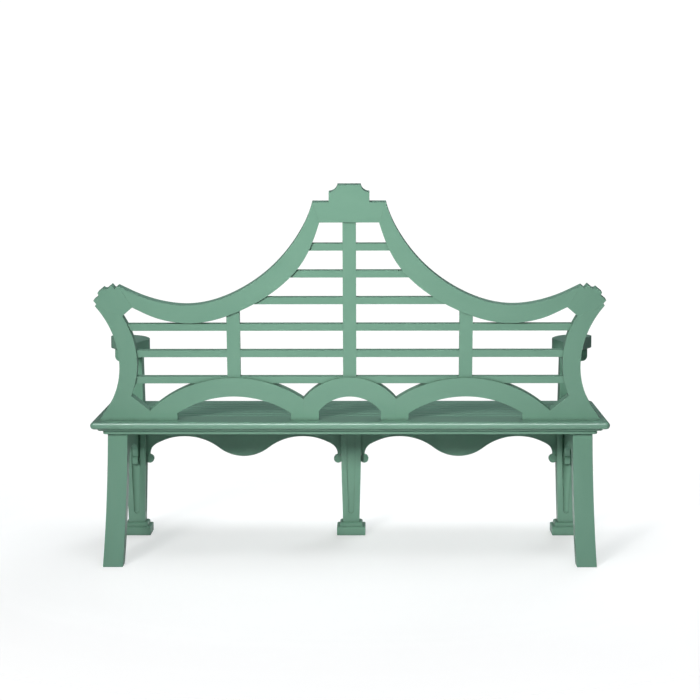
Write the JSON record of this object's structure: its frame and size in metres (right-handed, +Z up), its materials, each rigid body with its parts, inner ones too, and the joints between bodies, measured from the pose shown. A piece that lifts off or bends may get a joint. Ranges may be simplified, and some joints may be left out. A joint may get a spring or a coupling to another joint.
{
  "type": "garden bench",
  "caption": "Painted wooden garden bench with a swept, stepped-crest slatted back, arched foot rails, flared arms, scalloped apron and raked rear legs.",
  "frame": {"origin": "on the floor, under the middle of the bench's bounding box", "axes": "+X along the bench, +Y towards the back (the sitter faces -Y), +Z up"},
  "size_m": [1.68, 0.642, 1.2194],
  "materials": {
    "painted_wood": "satin sage green exterior paint over hardwood",
    "bare_wood": "bare hardwood dowel and tenon stock, hidden in the joints",
    "screw_steel": "stainless wood screws"
  },
  "bodies": {
    "root": {"arm_dowels": "bare_wood", "back_foot_dowels": "bare_wood", "back_loose_tenons": "bare_wood", "back_slat_1": "painted_wood", "back_slat_2": "painted_wood", "back_slat_3": "painted_wood", "back_slat_4": "painted_wood", "back_slat_5": "painted_wood", "back_slat_6": "painted_wood", "centre_arch": "painted_wood", "centre_bearer": "painted_wood", "centre_front_foot": "painted_wood", "centre_front_leg": "painted_wood", "centre_muntin": "painted_wood", "crest_block": "painted_wood", "front_rail": "painted_wood", "front_seat_member": "painted_wood", "left_arch": "painted_wood", "left_arm": "painted_wood", "left_arm_post": "painted_wood", "left_arm_scroll": "painted_wood", "left_bearer": "painted_wood", "left_front_apron": "painted_wood", "left_front_foot": "painted_wood", "left_front_leg": "painted_wood", "left_muntin": "painted_wood", "left_rear_leg": "painted_wood", "left_seat_member": "painted_wood", "left_shoulder_block": "painted_wood", "left_side_apron": "painted_wood", "left_side_rail": "painted_wood", "left_stile": "painted_wood", "left_sweep_rail": "painted_wood", "rear_rail": "painted_wood", "rear_seat_member": "painted_wood", "right_arch": "painted_wood", "right_arm": "painted_wood", "right_arm_post": "painted_wood", "right_arm_scroll": "painted_wood", "right_bearer": "painted_wood", "right_front_apron": "painted_wood", "right_front_foot": "painted_wood", "right_front_leg": "painted_wood", "right_muntin": "painted_wood", "right_rear_leg": "painted_wood", "right_seat_member": "painted_wood", "right_shoulder_block": "painted_wood", "right_side_apron": "painted_wood", "right_side_rail": "painted_wood", "right_stile": "painted_wood", "right_sweep_rail": "painted_wood", "seat_screws": "screw_steel", "seat_slat_1": "painted_wood", "seat_slat_2": "painted_wood", "seat_slat_3": "painted_wood", "seat_slat_4": "painted_wood", "seat_slat_5": "painted_wood"}
  },
  "joints": []
}
